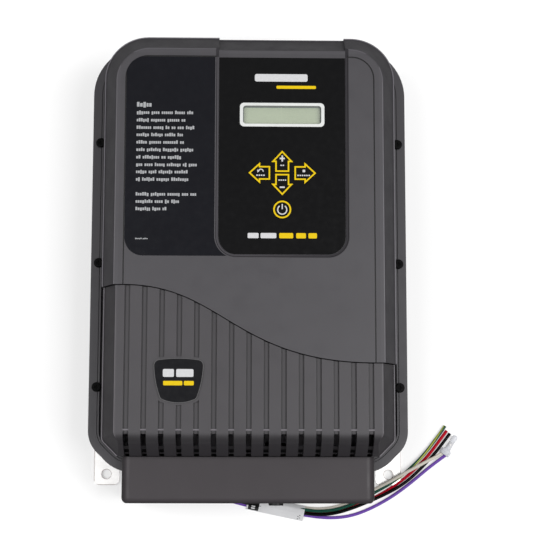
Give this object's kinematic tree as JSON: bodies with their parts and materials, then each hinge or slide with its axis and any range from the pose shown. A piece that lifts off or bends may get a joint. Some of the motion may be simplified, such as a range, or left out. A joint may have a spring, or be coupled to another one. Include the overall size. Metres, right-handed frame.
{
  "type": "salt chlorine generator",
  "caption": "Wall-mounted power centre of a salt chlorine generator with keypad, display, lift-off ribbed access cover, cable hood and loose field wires.",
  "frame": {"origin": "centre of the enclosure's width and height on the back plane of the wall bracket", "axes": "+X to the unit's right seen from the front, +Y towards its top, +Z out of its front face"},
  "size_m": [0.3216, 0.4127, 0.1182],
  "materials": {
    "bracket_metal": "pale, softly polished sheet",
    "zinc_screws": "zinc-plated",
    "zinc_steel": "yellow-passivated zinc",
    "black_screws": "black oxide",
    "housing_plastic": "fine-textured dark grey moulding",
    "cover_plastic": "fine-textured dark grey moulding",
    "hood_plastic": "fine-textured dark grey moulding",
    "badge_black": "glossy black dome with a pale rim",
    "label_film": "satin printed film, bluish black",
    "overlay_gloss": "glossy black film with yellow outlines",
    "bezel_white": "white frame",
    "display_lens": "clear lens",
    "display_glass": "grey-green reflective display",
    "circuit_board": "green solder mask",
    "switch_plastic": "black",
    "transformer_wrap": "yellow polyester tape wrap",
    "seal_rubber": "black foam rubber",
    "brass_parts": "machined brass",
    "heat_sink_metal": "extruded",
    "component_black": "moulded black",
    "relay_case": "blue case",
    "capacitor_sleeve": "shrink sleeve",
    "fuse_glass": "clear tube with metal caps",
    "ribbon_grey": "grey flat cable",
    "partition_sheet": "fibre insulating sheet",
    "gland_nylon": "black nylon",
    "sleeve_film": "white vinyl with a black band",
    "clear_nylon": "translucent nylon",
    "wire_white_pvc": "PVC insulation",
    "wire_green_pvc": "green PVC with a yellow stripe",
    "wire_black_pvc": "PVC insulation",
    "wire_red_pvc": "PVC insulation",
    "wire_violet_pvc": "PVC insulation"
  },
  "bodies": {
    "housing": {"wall_bracket": "bracket_metal", "bracket_screws": "zinc_screws", "rear_housing": "housing_plastic", "housing_gasket": "seal_rubber", "front_housing": "housing_plastic", "cover_screws": "black_screws", "bottom_hood": "hood_plastic", "hood_screws": "zinc_screws", "notice_label": "label_film", "keypad_overlay": "overlay_gloss", "display_bezel": "bezel_white", "display_window": "display_lens", "display_module": "display_glass", "ui_board": "circuit_board", "ui_screws": "zinc_screws", "tactile_switches": "switch_plastic", "transformer": "transformer_wrap", "transformer_pads": "seal_rubber", "transformer_washer": "zinc_steel", "transformer_bolt": "zinc_steel", "power_board": "circuit_board", "board_standoffs": "brass_parts", "board_screws": "zinc_screws", "heat_sink": "heat_sink_metal", "power_transistors": "component_black", "relays": "relay_case", "capacitors": "capacitor_sleeve", "bridge_rectifier": "component_black", "fuse_holder": "component_black", "fuse": "fuse_glass", "ribbon_cable": "ribbon_grey", "partition": "partition_sheet", "terminal_block": "component_black", "terminal_screws": "zinc_screws", "ground_bar": "brass_parts", "ground_screws": "zinc_screws", "wire_bushing": "gland_nylon", "outlet_gland": "gland_nylon", "gland_locknut": "gland_nylon", "conduit_plug": "gland_nylon", "label_sleeve": "sleeve_film", "crimp_connector": "clear_nylon", "wire_white": "wire_white_pvc", "wire_green": "wire_green_pvc", "wire_black": "wire_black_pvc", "wire_red": "wire_red_pvc", "wire_violet": "wire_violet_pvc"},
    "cover": {"access_cover": "cover_plastic", "badge": "badge_black"},
    "key_up_cap": {"key_up": "overlay_gloss"},
    "key_down_cap": {"key_down": "overlay_gloss"},
    "key_back_cap": {"key_back": "overlay_gloss"},
    "key_select_cap": {"key_select": "overlay_gloss"},
    "key_power_cap": {"key_power": "overlay_gloss"}
  },
  "joints": [
    {"name": "access_cover_lift", "type": "slide", "parent": "housing", "child": "cover", "axis": [0, 0, 1], "range_m": [0, 0.06]},
    {"name": "key_up_press", "type": "slide", "parent": "housing", "child": "key_up_cap", "axis": [0, 0, -1], "range_m": [0, 0.0004], "stiffness_N_per_m": 3000, "springref_m": -0.0002},
    {"name": "key_down_press", "type": "slide", "parent": "housing", "child": "key_down_cap", "axis": [0, 0, -1], "range_m": [0, 0.0004], "stiffness_N_per_m": 3000, "springref_m": -0.0002},
    {"name": "key_back_press", "type": "slide", "parent": "housing", "child": "key_back_cap", "axis": [0, 0, -1], "range_m": [0, 0.0004], "stiffness_N_per_m": 3000, "springref_m": -0.0002},
    {"name": "key_select_press", "type": "slide", "parent": "housing", "child": "key_select_cap", "axis": [0, 0, -1], "range_m": [0, 0.0004], "stiffness_N_per_m": 3000, "springref_m": -0.0002},
    {"name": "key_power_press", "type": "slide", "parent": "housing", "child": "key_power_cap", "axis": [0, 0, -1], "range_m": [0, 0.0004], "stiffness_N_per_m": 3000, "springref_m": -0.0002}
  ]
}
